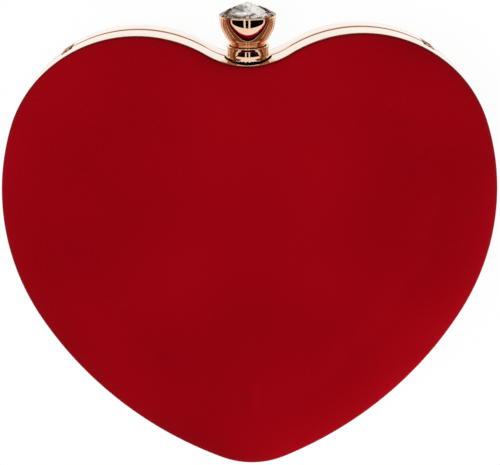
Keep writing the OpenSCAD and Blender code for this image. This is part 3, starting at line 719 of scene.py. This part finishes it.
def lining(side):
    """The satin lining, glued to a card that fits the shell, boxed in round the clasp and loops."""
    name, body = HALVES[side]
    step = RIM_DRAFT + LINING_IN
    ledge = [[step, LINING_STEP + 0.4], [step - 0.5, LINING_STEP]]
    wall = [[LINING_WALL_IN, w] for w in (LINING_STEP - 0.1, 7.5, 5.0, 3.0, 1.5)]
    edge = np.vstack([roll(LINING_IN, ROLL_TURNS), ledge, wall])
    places = [(0, CLASP_POCKET_HALF), (PERIMETER, CLASP_POCKET_HALF)]
    if side == BACK:
        places += [(LOOP_AT, LOOP_POCKET_HALF), (PERIMETER - LOOP_AT, LOOP_POCKET_HALF)]

    def boxed(s, w):
        """The pockets' inset, eased away past each one's half width and past their depth."""
        near = [1 - eased(np.abs(s - at), half, half + POCKET_SIDE) for at, half in places]
        deep = POCKET_DEPTH[side]
        return POCKET_IN * np.max(near, axis=0) * (1 - eased(w, deep, deep + POCKET_FLOOR))

    m = 2 * LAYER_GRID - 1
    points, _, _ = cover_points(m, edge, side, boxed)
    piece = make(name + "_satin_lining", [(points, grid_faces(m, m))], SATIN, sharp=50)
    walled(piece, side, -LINING_T)
    dressed(piece, body, "satin_lining", name + "_lining")
    return piece


for half in (FRONT, BACK):
    rim(half)
    velvet(half)
    padding(half)
    lining(half)


# ------------------------------------------------------------------------ clasp
COLLAR_FOOT_R, COLLAR_MOUTH_R, COLLAR_BORE_R, STEM_HOLE_R, COLLAR_FLOOR = 9.2, 7.4, 7.7, 1.7, 2.2
COLLAR_CLEAR, COLLAR_SEAT, COLLAR_LOW = 0.35, 0.04, 0.02


def cleft_rise(x, lift):
    """How far the cleft's curve, moved out by lift, has risen over its floor at x."""
    r = CLEFT_R - lift
    return CLEFT_R - np.sqrt(np.maximum(r**2 - np.square(x), 0))


def collar():
    """The ring in the cleft: a spool shaped wall on a flared foot, with a rounded mouth.

    Its underside follows the curve of the cleft: no point lies under that curve moved out by a
    lift. The lift is COLLAR_SEAT at the back, where the collar rests on the rim, and eases to
    COLLAR_CLEAR over the first 0.3 mm of the front, whose rim swings away under it.
    """
    foot = [[STEM_HOLE_R, COLLAR_LOW], [5.0, COLLAR_LOW], [COLLAR_FOOT_R - 0.1, COLLAR_LOW],
            [COLLAR_FOOT_R, 0.3]]
    wall = smooth_through([[COLLAR_FOOT_R, 0.75], [8.9, 1.2], [8.5, 1.85], [8.27, 2.8], [8.3, 4.05],
                           [8.5, 4.85], [8.62, 5.2]], 6)
    mouth = [[8.6, 5.38], [8.48, 5.5], [8.0, 5.56], [7.6, 5.5], [7.42, 5.35], [COLLAR_MOUTH_R, 5.1]]
    inside = [[7.55, 4.8], [COLLAR_BORE_R, 4.4], [COLLAR_BORE_R, COLLAR_FLOOR],
              [STEM_HOLE_R, COLLAR_FLOOR]]
    points, faces = turned(np.vstack([foot, wall, mouth, inside]))
    x, w = points[..., 0], points[..., 2] - PARTING_Z
    lift = COLLAR_SEAT + (COLLAR_CLEAR - COLLAR_SEAT) * eased(w, 0.0, 0.3)
    points[..., 1] = np.maximum(points[..., 1], CLEFT_Y + cleft_rise(x, lift))
    piece = make("clasp_collar_polished", [(points, faces)], KNOB_METAL, sharp=50)
    return dressed(piece, "back_half", "polished_rose_gold", "clasp_collar")


KNOB_LOW, KNOB_R, KNOB_WAIST_R, KNOB_HOLE_R = 4.9, 11.4, 7.1, 1.7


def cup():
    """The knob's cup: a waist that sinks into the collar, a full bowl and a thin lip.

    The bowl's slope sets what it mirrors: under 11 degrees from the knob's axis the dark
    overhead, up to 27 degrees the pale room, and past that the velvet.
    """
    foot = [[KNOB_HOLE_R, KNOB_LOW], [6.9, KNOB_LOW], [KNOB_WAIST_R, KNOB_LOW + 0.2]]
    bowl = smooth_through([[KNOB_WAIST_R, 6.3], [7.45, 7.0], [8.5, 8.3], [9.85, 10.7],
                           [10.75, 12.8], [11.25, 14.9], [KNOB_R, 17.4]], 10)
    inside = [[11.25, 17.7], [10.95, 17.72], [10.9, 16.6], [9.9, 16.5], [9.9, 14.2], [6.1, 10.8],
              [KNOB_HOLE_R, 10.8]]
    profile = np.vstack([foot, bowl, inside])
    piece = make("knob_cup_polished", [turned(profile)], KNOB_METAL, sharp=45)
    return dressed(piece, "clasp_knob", "polished_rose_gold", "knob_cup")


def bezel():
    """The rolled lip that holds the crystal."""
    corners = [[10.42, 16.95], [10.8, 16.95], [10.8, 17.85], [10.42, 17.95]]
    profile = rounded(corners, [0, 0, 0.15, 0.15])
    piece = make("crystal_bezel_rolled", [turned(profile)], KNOB_METAL, sharp=60)
    return dressed(piece, "clasp_knob", "polished_rose_gold", "crystal_bezel")


def ring(count, r, v, first=0.0):
    """Points round the knob's axis at one radius and height, from a share of a step."""
    a = 2 * np.pi * (np.arange(count) + first) / count
    return np.stack([r * np.sin(a), CLEFT_Y + v + 0 * a, PARTING_Z + r * np.cos(a)], -1)


GIRDLE_SIDES, FOIL_TOP = 16, 17.0


def crystal():
    """A rose cut crown of flat facets on a thin girdle, over a silvered back cut to a flat.

    The girdle has twice as many points as the two rings over it. Each point of the first ring is
    tied to three points of the girdle, and the second ring stands half a step on.
    """
    n, m = GIRDLE_SIDES, GIRDLE_SIDES // 2
    points = np.vstack([
        ring(n, 5.2, 14.2), ring(n, 10.3, 16.98), ring(n, 10.38, 17.05), ring(n, 11.25, 17.75),
        ring(m, 7.2, 20.05), ring(m, 3.4, 21.55, 0.5), [[0, CLEFT_Y + 22.6, PARTING_Z]],
    ])
    i, j, start = np.arange(n), (np.arange(n) + 1) % n, n * np.arange(3)[:, None]
    bands = np.stack([start + i, start + j, start + n + j, start + n + i], -1)
    girdle, lower, upper, peak = 3 * n, 4 * n, 4 * n + m, 4 * n + 2 * m
    k = np.arange(m)
    here, after, before = girdle + 2 * k, girdle + 2 * k + 1, girdle + (2 * k - 1) % n
    ring_1, next_1 = lower + k, lower + (k + 1) % m
    ring_2, next_2 = upper + k, upper + (k + 1) % m
    crown = np.vstack([
        np.stack(corners, -1)
        for corners in (
            (before, here, ring_1), (here, after, ring_1), (after, next_1, ring_1),
            (ring_1, next_1, ring_2), (ring_2, next_1, next_2), (ring_2, next_2, peak + 0 * k),
        )
    ])
    piece = make("crystal_cut", [(points, *bands, i[None], crown)], CRYSTAL, sharp=1)
    piece.data.materials.append(FOIL)
    mesh = piece.data
    centres = np.zeros(len(mesh.polygons) * 3, np.float32)
    mesh.polygons.foreach_get("center", centres)
    backs = centres.reshape(-1, 3)[:, 1] < (CLEFT_Y + FOIL_TOP) * MM
    mesh.polygons.foreach_set("material_index", backs.astype(np.int32))
    mesh.polygons.foreach_set("use_smooth", np.zeros(len(mesh.polygons), bool))
    return dressed(piece, "clasp_knob", "crystal", "crystal")


collar()
cup()
bezel()
crystal()


# ------------------------------------------------------------------ CAD finishes
FINISHES = {
    "rivet_brass": BRASS, "bright_steel": STEEL, "moulded_shell": SHELL,
    "polished_rose_gold": KNOB_METAL, "rose_gold_rim": RIM_METAL,
    "velvet": VELVET, "padding": WADDING, "satin_lining": SATIN, "crystal": CRYSTAL,
}
for part in frame["record"]["subparts"]:
    solid = frame["nodes"][part["node"]]
    solid.data.materials.clear()
    solid.data.materials.append(FINISHES[part["material_slot"]])


# ------------------------------------------------------------------------ stage
WHITE, PAPER = (1, 1, 1, 1), "#FBFBFB"
FLOOR_HALF, FLOOR_DROP, FLOOR_WHITE = 4000.0, 0.3, 0.96
FILL_LIGHT = 0.4


def lamp(name, place, target, size, watts):
    """A square white soft box that faces a target. Polished metal shows the cards, not the box."""
    data = bpy.data.lights.new(name, "AREA")
    data.shape, data.size, data.energy = "SQUARE", size, watts
    made = bpy.data.objects.new(name, data)
    bpy.context.scene.collection.objects.link(made)
    way = Vector(place) - Vector(target)
    made.rotation_euler = way.to_track_quat("Z", "Y").to_euler()
    made.location = place
    made.visible_glossy = False


def flat(name, centre, across, up, material):
    """A flat rectangle of the stage: its centre plus and minus two half vectors, in millimetres."""
    centre, across, up = (np.array(v, float) for v in (centre, across, up))
    corners = [centre + a * across + b * up for a, b in ((-1, -1), (1, -1), (1, 1), (-1, 1))]
    made = make(name, [(corners, [[0, 1, 2, 3]])], material)
    return made


def card(name, centre, across, up, shade, clear=False):
    """A card hung round the purse that glows in its own shade and lights nothing: a painted
    reflection, which only polished surfaces show.

    Its place is in metres. One that is clear shows through the crystal too.
    """
    material, tree, _ = new_material("card_" + name)
    glow = add(tree, "Emission", {"Color": linear(shade), "Strength": 1.0})
    add(tree, "OutputMaterial", {"Surface": glow})
    centre, across, up = (np.array(v, float) / MM for v in (centre, across, up))
    made = flat("card_" + name, centre, across, up, material)
    made.visible_camera = made.visible_diffuse = made.visible_shadow = False
    made.visible_transmission = clear


def seen_straight(tree):
    """1 for rays from the camera, off gloss or through glass, and 0 for those that light things."""
    path = add(tree, "LightPath")
    seen = path.outputs["Is Camera Ray"]
    for key in ("Is Glossy Ray", "Is Transmission Ray"):
        seen = add(tree, "Math", {0: seen, 1: path.outputs[key]}, operation="MAXIMUM")
    return seen


def floor():
    """The pale floor: nearly all white to the eye and in reflections, and lit paper otherwise.

    The rest of it stays paper to the eye too, so that the purse's shadow shows.
    """
    material, tree, _ = new_material("paper_backdrop_white")
    share = {0: seen_straight(tree), 1: FLOOR_WHITE}
    share = add(tree, "Math", share, operation="MULTIPLY")
    paper = add(tree, "BsdfDiffuse", {"Color": linear(PAPER)})
    glow = add(tree, "Emission", {"Color": WHITE, "Strength": 1.0})
    both = add(tree, "MixShader", {0: share, 1: paper, 2: glow})
    add(tree, "OutputMaterial", {"Surface": both})
    flat("floor_paper", (0, 0, -FLOOR_DROP), (FLOOR_HALF, 0, 0), (0, FLOOR_HALF, 0), material)


def world():
    """White to the eye and in reflections all round, and FILL_LIGHT of that as light."""
    made = bpy.data.worlds.new("studio_light")
    bpy.context.scene.world = made
    made.use_nodes = True
    tree = made.node_tree
    tree.nodes.clear()
    strength = {"Value": seen_straight(tree), "To Min": FILL_LIGHT, "To Max": 1.0}
    strength = add(tree, "MapRange", strength)
    light = add(tree, "Background", {"Color": WHITE, "Strength": strength})
    add(tree, "OutputWorld", {"Surface": light})


floor()
world()
lamp("key_soft", (-0.35, 0.15, 0.95), (0, 0, 0.03), 0.5, 6.6)
lamp("edge_soft", (0.9, -0.5, 0.12), (0.03, 0, 0.03), 0.4, 9.0)

# What the polished metal shows of the room: a black ceiling, whose two gaps are the pale lines in
# the collar, amber sides with a red stretch in front, a tan floor behind and a brown horizon. The
# red stretch is a painted reflection that stands in for the velvet's own reflection in the knob.
BLACK, AMBER, PAINTED_VELVET_RED, TAN, BROWN = "#0A0706", "#734121", "#8E0408", "#A87850", "#704A34"
CEILING, CEILING_Y, CEILING_HALF, SIDE_X = 0.95, -0.07, 0.45, 0.45
for name, low, high in (("left", -2.5, -0.27), ("middle", -0.15, 0.05), ("right", 0.16, 2.5)):
    centre, across = ((low + high) / 2, CEILING_Y, CEILING), ((high - low) / 2, 0, 0)
    card("overhead_" + name, centre, across, (0, CEILING_HALF, 0), BLACK, clear=True)
for name, side in (("left", -1), ("right", 1)):
    card(name + "_low", (SIDE_X * side, 0.39, 0.09), (0, 0.51, 0), (0, 0, 0.09), AMBER)
    # Painted reflection: red cards in place of the velvet's own reflection in the knob.
    card(name + "_front", (SIDE_X * side, -0.26, 0.1), (0, 0.14, 0), (0, 0, 0.1), PAINTED_VELVET_RED)
card("behind", (0.0, 0.36, 0.0003), (0.45, 0, 0), (0, 0.25, 0), TAN)
card("horizon", (0.0, 0.6, 0.16), (0.7, 0, 0), (0, 0, 0.14), BROWN)
bpy.context.scene.view_settings.view_transform = "Standard"
